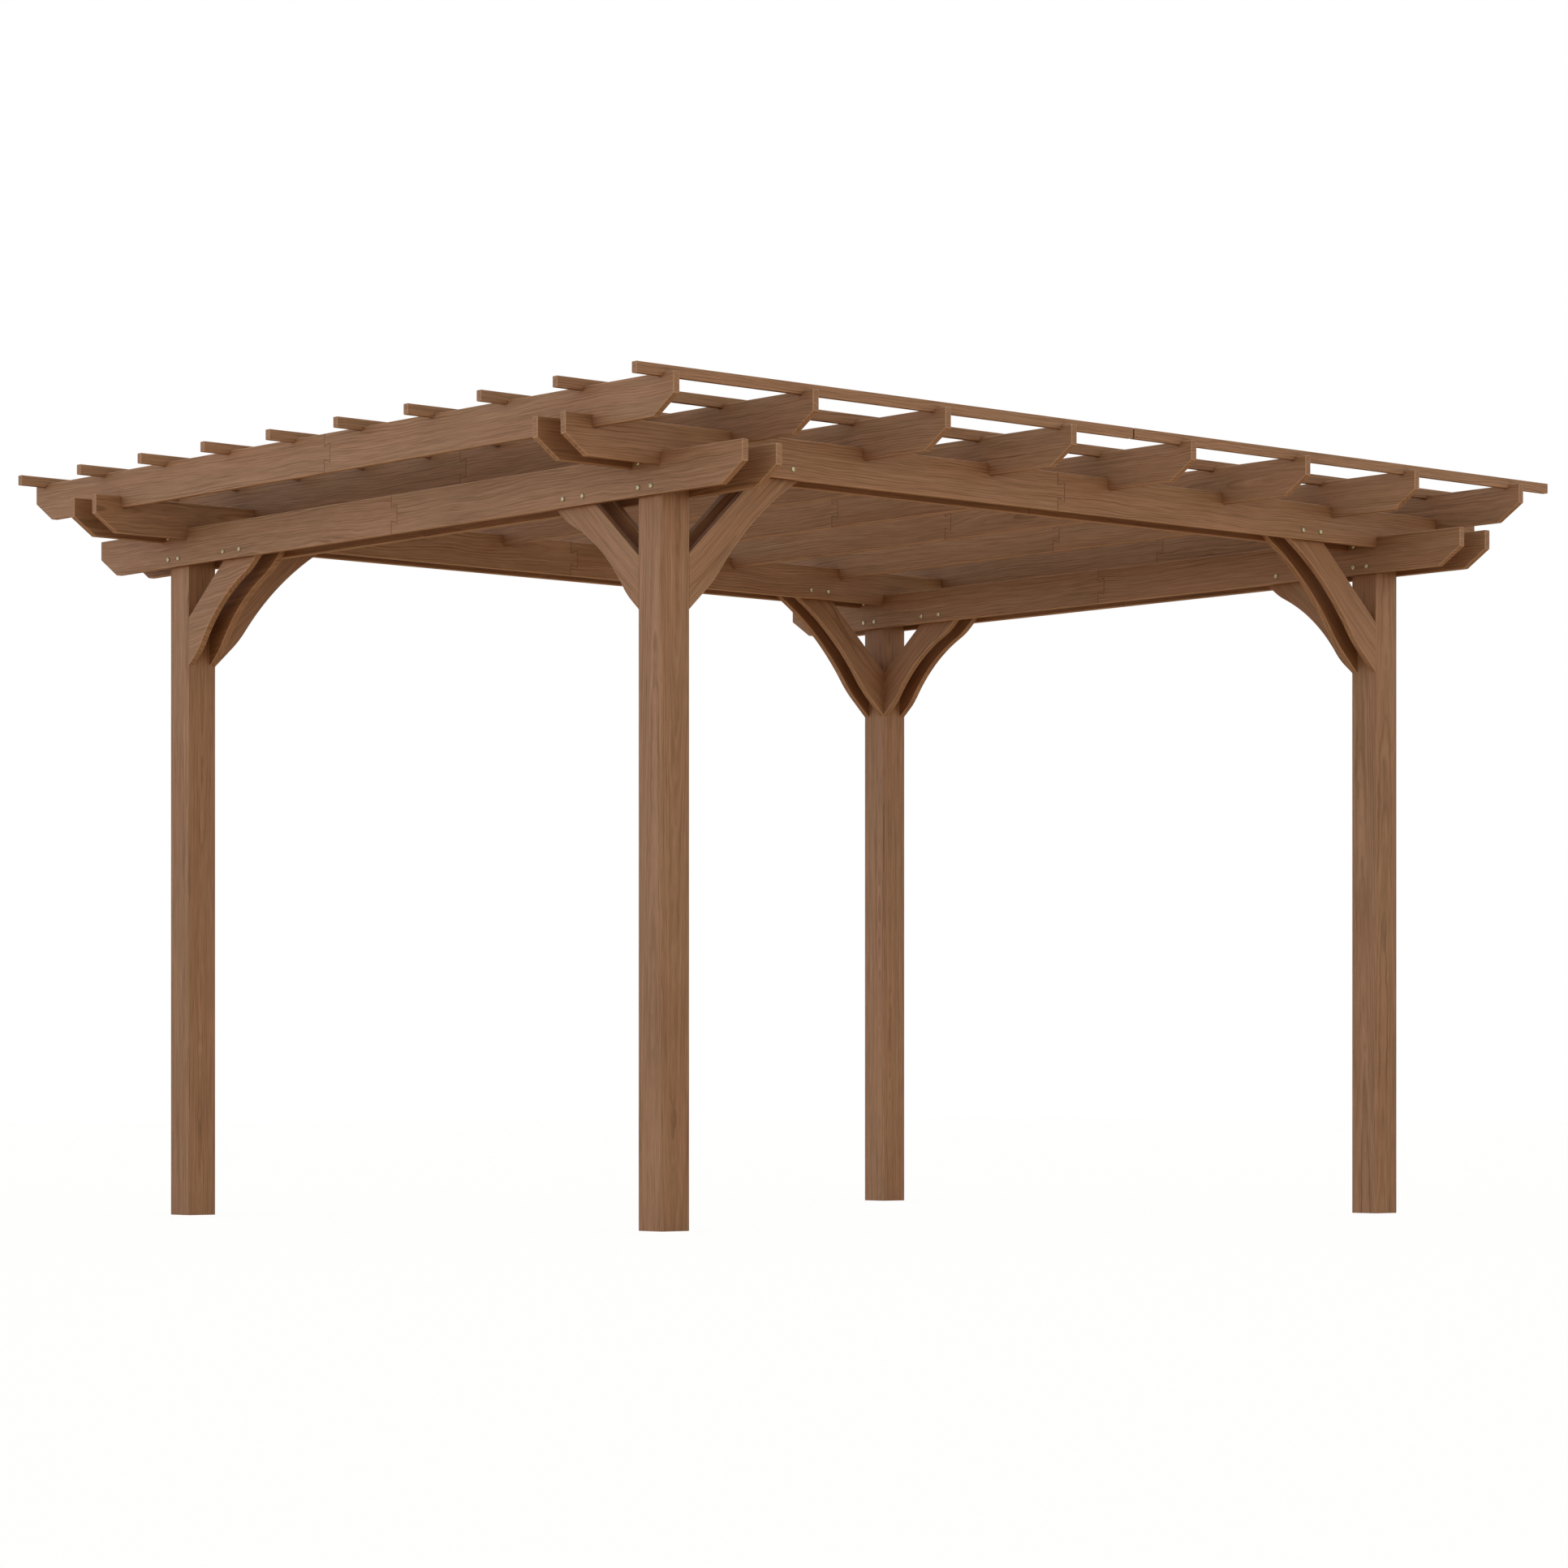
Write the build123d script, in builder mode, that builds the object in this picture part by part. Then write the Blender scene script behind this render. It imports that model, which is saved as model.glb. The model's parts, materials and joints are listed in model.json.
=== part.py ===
from build123d import *
import os
from math import cos, radians, sin, tan

# Free standing timber pergola: four square posts carry paired lower beams,
# paired upper beams, rafters and battens, each layer let into the one below,
# with an arched knee brace pair running each way from the head of every post.
# Origin: ground level at the centre of the four posts. Upper beams and battens
# run along X, lower beams and rafters along Y, and Z is up. Units: millimetres.

# Roof outline
ROOF_LENGTH = 3657.6
ROOF_DEPTH = 3048.0
LOWER_BEAM_UNDERSIDE = 1973.0

# Posts
POST_INSET_X = 394.8
POST_INSET_Y = 403.25
POST_SIZE = 97.0
POST_ARRIS_RADIUS = 1.5
POST_TOP_DROP = 12.0

# Boards that make the beams and rafters
BOARD_HEIGHT = 111.0
BOARD_THICKNESS = 21.0
LAP_DEPTH = 34.0
NOTCH_CLEARANCE = 0.5
END_FACE_HEIGHT = 57.0
CROSS_END_CUT = 86.0
LONG_END_CUT = 76.0

# Dovetail splice at the middle of each beam and rafter
SPLICE_LENGTH = 27.0
SPLICE_ROOT_HEIGHT = 37.0
SPLICE_TIP_HEIGHT = 53.0
SPLICE_GAP = 0.4

# Rafters
RAFTER_COUNT = 8
FIRST_RAFTER_INSET = 100.9
LAST_RAFTER_INSET = 177.1

# Battens
BATTEN_COUNT = 10
BATTEN_HEIGHT = 30.0
BATTEN_THICKNESS = 20.0
BATTEN_INSET = 50.7
BATTEN_LAP = 10.0
BATTEN_JOINT_GAP = 7.0

# Knee braces, each lower edge a straight foot, an arch and a straight head
BRACE_WIDTH = 110.0
BRACE_THICKNESS = 21.0
BRACE_TOP_CLEARANCE = 3.5
CROSS_BRACE_ANGLE = 40.4
CROSS_BRACE_FOOT = 71.0
CROSS_BRACE_ARCH = 334.0
CROSS_BRACE_HEAD = 172.0
CROSS_SHOULDER_RADIUS = 220.0
LONG_BRACE_ANGLE = 43.5
LONG_BRACE_FOOT = 128.0
LONG_BRACE_ARCH = 440.0
LONG_BRACE_HEAD = 88.5
LONG_SHOULDER_RADIUS = 380.0
ARCH_RISE = 26.0

# Heights and places that follow from the sizes above
LOWER_BEAM_TOP = LOWER_BEAM_UNDERSIDE + BOARD_HEIGHT
UPPER_BEAM_UNDERSIDE = LOWER_BEAM_TOP - LAP_DEPTH
UPPER_BEAM_TOP = UPPER_BEAM_UNDERSIDE + BOARD_HEIGHT
RAFTER_UNDERSIDE = UPPER_BEAM_TOP - LAP_DEPTH
RAFTER_TOP = RAFTER_UNDERSIDE + BOARD_HEIGHT
BATTEN_UNDERSIDE = RAFTER_TOP - BATTEN_LAP
POST_TOP = UPPER_BEAM_TOP - POST_TOP_DROP
NOTCH_DEPTH = LAP_DEPTH / 2
BOARD_NOTCH_WIDTH = BOARD_THICKNESS + 2 * NOTCH_CLEARANCE
BATTEN_NOTCH_WIDTH = BATTEN_THICKNESS + 2 * NOTCH_CLEARANCE
POST_X = ROOF_LENGTH / 2 - POST_INSET_X
POST_Y = ROOF_DEPTH / 2 - POST_INSET_Y
HALF_POST = POST_SIZE / 2
BEAM_FROM_POST = HALF_POST + BOARD_THICKNESS / 2
BRACE_FROM_POST = HALF_POST - BRACE_THICKNESS / 2

CORNERS = {
    "near_left": (-1, 1),
    "near": (-1, -1),
    "near_right": (1, -1),
    "back": (1, 1),
}


def spaced(first, last, count):
    """Return count places, evenly spaced from first to last."""
    return [first + (last - first) * index / (count - 1) for index in range(count)]


LOWER_BEAM_PLACES = [side * POST_X + face * BEAM_FROM_POST for side in (-1, 1) for face in (-1, 1)]
UPPER_BEAM_PLACES = [side * POST_Y + face * BEAM_FROM_POST for side in (-1, 1) for face in (-1, 1)]
RAFTER_PLACES = spaced(
    FIRST_RAFTER_INSET - ROOF_LENGTH / 2, ROOF_LENGTH / 2 - LAST_RAFTER_INSET, RAFTER_COUNT
)
BATTEN_PLACES = spaced(BATTEN_INSET - ROOF_DEPTH / 2, ROOF_DEPTH / 2 - BATTEN_INSET, BATTEN_COUNT)


def save(part, label):
    """Label a finished piece and write it to its own file."""
    part.label = label
    export_step(part, f"parts/{label}.step")


def board_outline(length, end_cut, underside):
    """Return the corners of a board's side view, with the foot of each end cut on a slant."""
    top = underside + BOARD_HEIGHT
    face_foot = top - END_FACE_HEIGHT
    end = length / 2
    cut_foot = end - end_cut
    return [
        (-end, top),
        (end, top),
        (end, face_foot),
        (cut_foot, underside),
        (-cut_foot, underside),
        (-end, face_foot),
    ]


def splice_outline(underside, tongue_direction):
    """Return the corners of the thin dovetail seam that parts a board into its two lengths."""
    top = underside + BOARD_HEIGHT
    middle = underside + BOARD_HEIGHT / 2
    root = -tongue_direction * SPLICE_LENGTH / 2
    tip = tongue_direction * SPLICE_LENGTH / 2
    root_half = SPLICE_ROOT_HEIGHT / 2
    tip_half = SPLICE_TIP_HEIGHT / 2
    gap = tongue_direction * SPLICE_GAP
    return [
        (root, top),
        (root, middle + root_half),
        (tip, middle + tip_half),
        (tip, middle - tip_half),
        (root, middle - root_half),
        (root, underside),
        (root + gap, underside),
        (root + gap, middle - root_half - SPLICE_GAP),
        (tip + gap, middle - tip_half - SPLICE_GAP),
        (tip + gap, middle + tip_half + SPLICE_GAP),
        (root + gap, middle + root_half + SPLICE_GAP),
        (root + gap, top),
    ]


def make_board(label, plane, length, end_cut, underside, tongue_direction, notches):
    """Make a beam or rafter from its side view, notched and spliced at mid length.

    Each notch is its place along the board, its edge's height, its width and its depth.
    """
    with BuildPart() as board:
        with BuildSketch(plane):
            with BuildLine():
                Polyline(*board_outline(length, end_cut, underside), close=True)
            make_face()
            for place, edge_height, width, depth in notches:
                with Locations((place, edge_height)):
                    Rectangle(width, 2 * depth, mode=Mode.SUBTRACT)
            with BuildLine():
                Polyline(*splice_outline(underside, tongue_direction), close=True)
            make_face(mode=Mode.SUBTRACT)
        extrude(amount=BOARD_THICKNESS / 2, both=True)
    save(board.part, label)


def make_brace(label, plane, post_face, inward, angle, foot, arch, head, shoulder_radius, top):
    """Make a knee brace's two plates, rising inward from a post's face to its top height.

    The foot, arch and head are lengths along its lower edge, straight but for the arch,
    which turns into them over two rounded shoulders.
    """
    slope = radians(angle)
    upright_width = BRACE_WIDTH / cos(slope)
    foot_height = top - (foot + arch + head) * sin(slope)

    def along(distance, rise):
        """Return the point at a distance along the lower edge and a rise square to it."""
        out = distance * cos(slope) - rise * sin(slope)
        up = distance * sin(slope) + rise * cos(slope)
        return post_face + inward * out, foot_height + up

    lower_tip = along(0, 0)
    arch_start = along(foot, 0)
    arch_middle = along(foot + arch / 2, ARCH_RISE)
    arch_end = along(foot + arch, 0)
    lower_top = along(foot + arch + head, 0)
    upper_top = (lower_top[0] - inward * upright_width / tan(slope), top)
    shoulder = (post_face, foot_height + upright_width)
    with BuildPart() as brace:
        for side in (-1, 1):
            with BuildSketch(plane.offset(side * BRACE_FROM_POST)) as side_view:
                with BuildLine():
                    Line(lower_tip, arch_start)
                    ThreePointArc(arch_start, arch_middle, arch_end)
                    Polyline(arch_end, lower_top, upper_top, shoulder, lower_tip)
                make_face()
                arc = side_view.edges().filter_by(GeomType.CIRCLE)
                fillet(arc.vertices(), radius=shoulder_radius)
            extrude(amount=BRACE_THICKNESS / 2, both=True)
    save(brace.part, label)


def make_post(label, centre):
    """Make a square post with softened arrises, standing on its foot."""
    with BuildPart() as post:
        with BuildSketch(Plane.XY):
            with Locations(centre):
                RectangleRounded(POST_SIZE, POST_SIZE, POST_ARRIS_RADIUS)
        extrude(amount=POST_TOP)
    save(post.part, label)


def make_batten(label, place):
    """Make a batten as two lengths that meet at the middle with a small gap."""
    length = (ROOF_LENGTH - BATTEN_JOINT_GAP) / 2
    centre = (BATTEN_JOINT_GAP + length) / 2
    with BuildPart() as batten:
        with BuildSketch(Plane.XY.offset(BATTEN_UNDERSIDE)):
            with Locations((-centre, place), (centre, place)):
                Rectangle(length, BATTEN_THICKNESS)
        extrude(amount=BATTEN_HEIGHT)
    save(batten.part, label)


os.makedirs("parts", exist_ok=True)

# Posts
for corner, (side_x, side_y) in CORNERS.items():
    make_post(f"post_{corner}", (side_x * POST_X, side_y * POST_Y))

# Lower beams, along Y on both X faces of the posts
for number, place in enumerate(LOWER_BEAM_PLACES, start=1):
    crossings = [(y, LOWER_BEAM_TOP, BOARD_NOTCH_WIDTH, NOTCH_DEPTH) for y in UPPER_BEAM_PLACES]
    make_board(
        f"lower_beam_{number}",
        Plane.YZ.offset(place),
        ROOF_DEPTH,
        CROSS_END_CUT,
        LOWER_BEAM_UNDERSIDE,
        -1,
        crossings,
    )

# Upper beams, along X on both Y faces of the posts
for number, place in enumerate(UPPER_BEAM_PLACES, start=1):
    under = [(x, UPPER_BEAM_UNDERSIDE, BOARD_NOTCH_WIDTH, NOTCH_DEPTH) for x in LOWER_BEAM_PLACES]
    over = [(x, UPPER_BEAM_TOP, BOARD_NOTCH_WIDTH, NOTCH_DEPTH) for x in RAFTER_PLACES]
    make_board(
        f"upper_beam_{number}",
        Plane.XZ.offset(-place),
        ROOF_LENGTH,
        LONG_END_CUT,
        UPPER_BEAM_UNDERSIDE,
        1,
        under + over,
    )

# Rafters, along Y over the upper beams
for number, place in enumerate(RAFTER_PLACES, start=1):
    under = [(y, RAFTER_UNDERSIDE, BOARD_NOTCH_WIDTH, NOTCH_DEPTH) for y in UPPER_BEAM_PLACES]
    over = [(y, RAFTER_TOP, BATTEN_NOTCH_WIDTH, BATTEN_LAP) for y in BATTEN_PLACES]
    make_board(
        f"rafter_{number}",
        Plane.YZ.offset(place),
        ROOF_DEPTH,
        CROSS_END_CUT,
        RAFTER_UNDERSIDE,
        -1,
        under + over,
    )

# Battens, along X in the tops of the rafters
for number, place in enumerate(BATTEN_PLACES, start=1):
    make_batten(f"batten_{number}", place)

# Knee braces across the pergola, between the paired lower beams
for corner, (side_x, side_y) in CORNERS.items():
    make_brace(
        f"cross_brace_{corner}",
        Plane.YZ.offset(side_x * POST_X),
        side_y * (POST_Y - HALF_POST),
        -side_y,
        CROSS_BRACE_ANGLE,
        CROSS_BRACE_FOOT,
        CROSS_BRACE_ARCH,
        CROSS_BRACE_HEAD,
        CROSS_SHOULDER_RADIUS,
        UPPER_BEAM_UNDERSIDE - BRACE_TOP_CLEARANCE,
    )

# Knee braces along the pergola, between the paired upper beams
for corner, (side_x, side_y) in CORNERS.items():
    make_brace(
        f"long_brace_{corner}",
        Plane.XZ.offset(-side_y * POST_Y),
        side_x * (POST_X - HALF_POST),
        -side_x,
        LONG_BRACE_ANGLE,
        LONG_BRACE_FOOT,
        LONG_BRACE_ARCH,
        LONG_BRACE_HEAD,
        LONG_SHOULDER_RADIUS,
        RAFTER_UNDERSIDE - BRACE_TOP_CLEARANCE,
    )
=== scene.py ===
import json
import logging
import math
import random
from collections.abc import Callable, Sequence
from dataclasses import dataclass, field
from enum import Enum
from typing import Any

import bpy
from mathutils import Matrix, Vector

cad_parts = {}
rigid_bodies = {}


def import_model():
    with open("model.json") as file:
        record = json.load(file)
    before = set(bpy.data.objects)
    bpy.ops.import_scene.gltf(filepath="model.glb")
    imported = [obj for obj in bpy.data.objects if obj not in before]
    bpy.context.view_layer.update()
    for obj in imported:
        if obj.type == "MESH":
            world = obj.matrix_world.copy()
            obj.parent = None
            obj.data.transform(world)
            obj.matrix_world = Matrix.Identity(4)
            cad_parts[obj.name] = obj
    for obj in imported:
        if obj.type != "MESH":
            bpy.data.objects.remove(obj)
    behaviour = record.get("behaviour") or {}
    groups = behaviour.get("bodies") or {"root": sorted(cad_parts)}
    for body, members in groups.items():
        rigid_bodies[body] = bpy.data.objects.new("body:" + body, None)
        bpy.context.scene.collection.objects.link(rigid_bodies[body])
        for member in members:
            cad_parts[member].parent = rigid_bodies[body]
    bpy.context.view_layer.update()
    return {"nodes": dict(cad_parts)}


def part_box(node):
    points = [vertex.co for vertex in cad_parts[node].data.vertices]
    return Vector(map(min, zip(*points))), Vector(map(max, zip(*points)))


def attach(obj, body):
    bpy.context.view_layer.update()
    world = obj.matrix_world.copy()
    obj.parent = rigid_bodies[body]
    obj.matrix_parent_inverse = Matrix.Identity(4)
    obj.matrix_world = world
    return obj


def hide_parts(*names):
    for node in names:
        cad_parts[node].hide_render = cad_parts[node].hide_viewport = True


# A free standing timber pergola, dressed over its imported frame: stained posts, paired
# beams, rafters, battens and arched knee braces, and the bolts that hold them together.
# X runs along the pergola, Y across it and Z up. Units: metres.

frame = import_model()

log = logging.getLogger("pergola")

MM = 0.001
# Places on a timber that lie closer than this are taken as one.
TOUCH = 0.1 * MM
GRAIN = "grain"
CORNERS = ("near_left", "near", "near_right", "back")
X = Vector((1.0, 0.0, 0.0))
Y = Vector((0.0, 1.0, 0.0))
Z = Vector((0.0, 0.0, 1.0))

Colour = tuple[float, float, float, float]
WHITE: Colour = (1.0, 1.0, 1.0, 1.0)


def shade(red: int, green: int, blue: int) -> Colour:
    """Return a colour that is read off a screen as the linear one that a shader takes.

    Args:
        red: Red on the screen, from 0 to 255.
        green: Green on the screen, from 0 to 255.
        blue: Blue on the screen, from 0 to 255.

    Returns:
        The linear colour, with its alpha of one.
    """

    def linear(level: int) -> float:
        """Return one channel without the screen's curve."""
        part = level / 255.0
        return part / 12.92 if part <= 0.04045 else ((part + 0.055) / 1.055) ** 2.4

    return (linear(red), linear(green), linear(blue), 1.0)


class Run(Enum):
    """The way that a timber runs, with its directions along, across and through."""

    LENGTHWAYS = (X, Z, Y)
    CROSSWAYS = (Y, Z, X)
    UPRIGHT = (Z, X, Y)

    @property
    def along(self) -> Vector:
        """Direction of the timber's length."""
        return self.value[0]

    @property
    def across(self) -> Vector:
        """Direction over the timber's wide face."""
        return self.value[1]

    @property
    def through(self) -> Vector:
        """Direction of the timber's thickness."""
        return self.value[2]


class Zone(Enum):
    """Where on a timber a finish lies, which is also its material slot."""

    FACE = 0
    ARRIS = 1
    SEAM = 2


class Signal:
    """A value on its way through a shader, whose maths is written as Python."""

    def __init__(self, graph: "Graph", socket: bpy.types.NodeSocket) -> None:
        """Hold the graph and the socket that gives the value."""
        self.graph = graph
        self.socket = socket

    def __add__(self, other: "Signal | float") -> "Signal":
        """Return self + other."""
        return self.graph.maths("ADD", self, other)

    def __radd__(self, other: float) -> "Signal":
        """Return other + self."""
        return self.graph.maths("ADD", other, self)

    def __sub__(self, other: "Signal | float") -> "Signal":
        """Return self - other."""
        return self.graph.maths("SUBTRACT", self, other)

    def __rsub__(self, other: float) -> "Signal":
        """Return other - self."""
        return self.graph.maths("SUBTRACT", other, self)

    def __mul__(self, other: "Signal | float") -> "Signal":
        """Return self * other."""
        return self.graph.maths("MULTIPLY", self, other)

    def __rmul__(self, other: float) -> "Signal":
        """Return other * self."""
        return self.graph.maths("MULTIPLY", other, self)

    def __truediv__(self, other: "Signal | float") -> "Signal":
        """Return self / other."""
        return self.graph.maths("DIVIDE", self, other)

    def __pow__(self, other: "Signal | float") -> "Signal":
        """Return self raised to other."""
        return self.graph.maths("POWER", self, other)

    def above(self, low: float, high: float) -> "Signal":
        """Return a soft step that rises from 0 at low to 1 at high.

        Args:
            low: Value up to which the step is 0.
            high: Value from which the step is 1.

        Returns:
            The step.
        """
        inputs = {"Value": self, "From Min": low, "From Max": high}
        node = self.graph.node("ShaderNodeMapRange", inputs, interpolation_type="SMOOTHSTEP")
        return self.graph.read(node, "Result")


class Graph:
    """The nodes of one material or of the world."""

    def __init__(self, tree: bpy.types.NodeTree) -> None:
        """Start with an empty tree."""
        self.tree = tree
        tree.nodes.clear()

    def node(
        self, kind: str, inputs: dict[str | int, Any] | None = None, **settings: Any
    ) -> bpy.types.Node:
        """Add a node.

        Args:
            kind: The node's type.
            inputs: A value or a signal for each input, by name or number.
            settings: The node's own properties.

        Returns:
            The new node.
        """
        node = self.tree.nodes.new(kind)
        for name, value in settings.items():
            setattr(node, name, value)
        for key, value in (inputs or {}).items():
            named = [s for s in node.inputs if s.enabled and s.name == key]
            socket = node.inputs[key] if isinstance(key, int) else named[0]
            if isinstance(value, Signal):
                self.tree.links.new(value.socket, socket)
            else:
                socket.default_value = value
        return node

    def maths(self, operation: str, *values: Signal | float) -> Signal:
        """Pass values through a Math node.

        Args:
            operation: The Math node's operation.
            values: What goes into its sockets, in order.

        Returns:
            The node's result.
        """
        node = self.node("ShaderNodeMath", dict(enumerate(values)), operation=operation)
        return Signal(self, node.outputs[0])

    def read(self, node: bpy.types.Node, name: str) -> Signal:
        """Return the signal of a node's output with that name."""
        return Signal(self, next(s for s in node.outputs if s.enabled and s.name == name))

    def parts(self, vector: Signal) -> tuple[Signal, Signal, Signal]:
        """Return a vector's three parts."""
        node = self.node("ShaderNodeSeparateXYZ", {"Vector": vector})
        return self.read(node, "X"), self.read(node, "Y"), self.read(node, "Z")

    def place(self, x: Signal | float, y: Signal | float, z: Signal | float) -> Signal:
        """Return the vector with those three parts."""
        return self.read(self.node("ShaderNodeCombineXYZ", {"X": x, "Y": y, "Z": z}), "Vector")

    def ramp(self, value: Signal, stops: Sequence[tuple[float, Colour]]) -> Signal:
        """Pick a colour from a ramp.

        Args:
            value: Where the ramp is read, from 0 to 1.
            stops: The place and colour of each of its stops, in order.

        Returns:
            The colour there.
        """
        node = self.node("ShaderNodeValToRGB", {0: value})
        elements = node.color_ramp.elements
        while len(elements) < len(stops):
            elements.new(1.0)
        for element, (place, colour) in zip(elements, stops):
            element.position = place
            element.color = colour
        return self.read(node, "Color")

    def blend(
        self,
        factor: Signal | float,
        first: Signal | Colour,
        second: Signal | Colour,
        way: str = "MIX",
    ) -> Signal:
        """Mix two colours.

        Args:
            factor: The second colour's share.
            first: The colour at 0.
            second: The colour at 1.
            way: The Mix node's blend type.

        Returns:
            The mixed colour.
        """
        inputs = {"Factor": factor, "A": first, "B": second}
        node = self.node("ShaderNodeMix", inputs, data_type="RGBA", blend_type=way)
        return self.read(node, "Result")

    def merge(
        self, factor: Signal | float, first: bpy.types.Node, second: bpy.types.Node
    ) -> bpy.types.Node:
        """Mix two shaders.

        Args:
            factor: The second shader's share.
            first: The shader at 0.
            second: The shader at 1.

        Returns:
            The mixed shader.
        """
        shaders = {1: Signal(self, first.outputs[0]), 2: Signal(self, second.outputs[0])}
        return self.node("ShaderNodeMixShader", {0: factor, **shaders})

    def surface(self, shader: bpy.types.Node, kind: str = "ShaderNodeOutputMaterial") -> None:
        """Send a shader to the surface of a new output node."""
        self.tree.links.new(shader.outputs[0], self.node(kind).inputs["Surface"])


@dataclass(frozen=True)
class Mottle:
    """Soft variation in a material, by how often it turns in a metre along and across it.

    The detail is how many finer layers lie over it, and the roughness how strong they are.
    """

    along: float
    across: float
    detail: float = 2.0
    roughness: float = 0.5

    def noise(
        self, graph: Graph, along: Signal, across: Signal, through: Signal | float
    ) -> bpy.types.Node:
        """Add the noise that makes the variation.

        Args:
            graph: The material's graph.
            along: Place along the material, in metres.
            across: Place across it.
            through: Place through its thickness.

        Returns:
            The noise node, with a value and a colour.
        """
        place = graph.place(along * self.along, across * self.across, through * self.across)
        finer = {"Detail": self.detail, "Roughness": self.roughness}
        return graph.node("ShaderNodeTexNoise", {"Vector": place, "Scale": 1.0, **finer})

    def level(
        self, graph: Graph, along: Signal, across: Signal, through: Signal | float = 0.0
    ) -> Signal:
        """Return the variation at a place, around nought and about from -0.5 to 0.5."""
        return graph.read(self.noise(graph, along, across, through), "Fac") - 0.5


@dataclass(frozen=True)
class StainedTimber:
    """Brown stained softwood, with rings and fibres that follow each length's own heart line.

    The rings wander and ripple round that line, and their late wood shows as darker lines that
    come and go. Streaks, fibres and a slow drift lie over them, and the tone that they make
    together picks a colour from the stops of the stain. Arrises are painted paler, partly as rubbed
    wear and partly as a painted highlight, seams are darker, and corners between timbers get a
    warm, dark painted shade.
    """

    name: str
    ring_width: float = 7.0 * MM
    wander: Mottle = Mottle(along=2.6, across=7.0, roughness=0.45)
    wander_reach: float = 19.0 * MM
    ring_drift: float = 2.0
    ripple: Mottle = Mottle(along=15.0, across=24.0, detail=1.0)
    ripple_reach: float = 5.0 * MM
    latewood_rise: tuple[float, float] = (0.3, 0.82)
    latewood_fall: tuple[float, float] = (0.88, 1.0)
    line_fade: Mottle = Mottle(along=1.3, across=0.9)
    line_least: float = 0.2
    line_strength: float = 0.27
    line_relief: float = -0.35
    streak: Mottle = Mottle(along=2.4, across=190.0, detail=4.0, roughness=0.65)
    streak_strength: float = 1.1
    streak_relief: float = 0.6
    fibre: Mottle = Mottle(along=11.0, across=380.0, detail=3.0, roughness=0.6)
    fibre_strength: float = 0.8
    drift: Mottle = Mottle(along=1.1, across=9.0)
    drift_strength: float = 0.22
    mean_tone: float = 0.38
    # Arrises are shifted paler: partly rubbed wear, partly a painted highlight.
    arris_wear_and_highlight_tone: float = -0.2
    seam_tone: float = 0.7
    stain: tuple[tuple[float, Colour], ...] = (
        (0.02, shade(152, 117, 92)),
        (0.42, shade(131, 98, 74)),
        (0.78, shade(104, 74, 50)),
        (1.0, shade(78, 52, 33)),
    )
    # Paler colour on arrises: partly rubbed wear, partly a painted highlight of light on the eased
    # edge.
    rubbed_and_highlight: Colour = shade(166, 134, 108)
    rubbed_and_highlight_share: float = 0.4
    hue: Mottle = Mottle(along=2.1, across=16.0)
    warm_tint: Colour = (1.03, 0.99, 0.985, 1.0)
    cool_tint: Colour = (0.975, 1.0, 0.985, 1.0)
    patch_edges: tuple[float, float] = (0.3, 0.7)
    # Painted shade: an ambient occlusion node darkens the base colour, warm and dark, in corners
    # between timbers.
    painted_shade_reach: float = 0.24
    painted_shade_samples: int = 6
    painted_shade_depths: tuple[float, float] = (0.03, 0.75)
    painted_shade_tint: Colour = (0.77, 0.57, 0.37, 1.0)
    relief_strength: float = 0.25
    relief_height: float = 0.4 * MM
    roughness: float = 0.66
    roughness_spread: float = 0.12
    specular: float = 0.3

    def tone(self, graph: Graph) -> tuple[Signal, Signal, Signal]:
        """Work out how dark the stained grain is.

        Args:
            graph: The material's graph.

        Returns:
            How dark the grain is, its fine relief, and how far its hue leans to the cool tint.
        """
        attribute = graph.node("ShaderNodeAttribute", attribute_name=GRAIN)
        along, across, through = graph.parts(graph.read(attribute, "Vector"))
        wandering = graph.read(self.wander.noise(graph, along, across, through), "Color")
        aside, behind, age = graph.parts(wandering)
        near = across + (aside - 0.5) * (2.0 * self.wander_reach)
        far = through + (behind - 0.5) * (2.0 * self.wander_reach)
        rippling = self.ripple.level(graph, along, across, through)
        radius = (near * near + far * far) ** 0.5 + rippling * self.ripple_reach
        rings = radius / self.ring_width + age * self.ring_drift
        part = graph.maths("FRACT", rings)
        latewood = part.above(*self.latewood_rise) * (1.0 - part.above(*self.latewood_fall))
        fading = (self.line_fade.level(graph, along, rings) + 0.5).above(*self.patch_edges)
        lines = latewood * (self.line_least + (1.0 - self.line_least) * fading)
        streak = self.streak.level(graph, along, radius)
        fibre = self.fibre.level(graph, along, across, through)
        drift = self.drift.level(graph, along, across, through)
        hue = self.hue.level(graph, along, across, through)
        tone = (
            self.mean_tone
            + lines * self.line_strength
            + streak * self.streak_strength
            + fibre * self.fibre_strength
            + drift * self.drift_strength
        )
        relief = streak * self.streak_relief + fibre + lines * self.line_relief
        return tone, relief, (hue + 0.5).above(*self.patch_edges)

    def stained(self, graph: Graph, zone: Zone, tone: Signal, hue: Signal) -> Signal:
        """Work out the stain's colour in the open.

        Args:
            graph: The material's graph.
            zone: Where on the timber the finish lies.
            tone: How dark the grain is.
            hue: How far its hue leans from the warm tint to the cool one.

        Returns:
            The colour.
        """
        shift = {Zone.FACE: 0.0, Zone.ARRIS: self.arris_wear_and_highlight_tone, Zone.SEAM: self.seam_tone}[zone]
        stain = graph.ramp(tone + shift, self.stain)
        # Arrises are mixed towards a paler colour: partly rubbed wear, partly a painted highlight.
        if zone is Zone.ARRIS:
            stain = graph.blend(self.rubbed_and_highlight_share, stain, self.rubbed_and_highlight)
        tint = graph.blend(hue, self.warm_tint, self.cool_tint)
        return graph.blend(1.0, stain, tint, "MULTIPLY")

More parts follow.
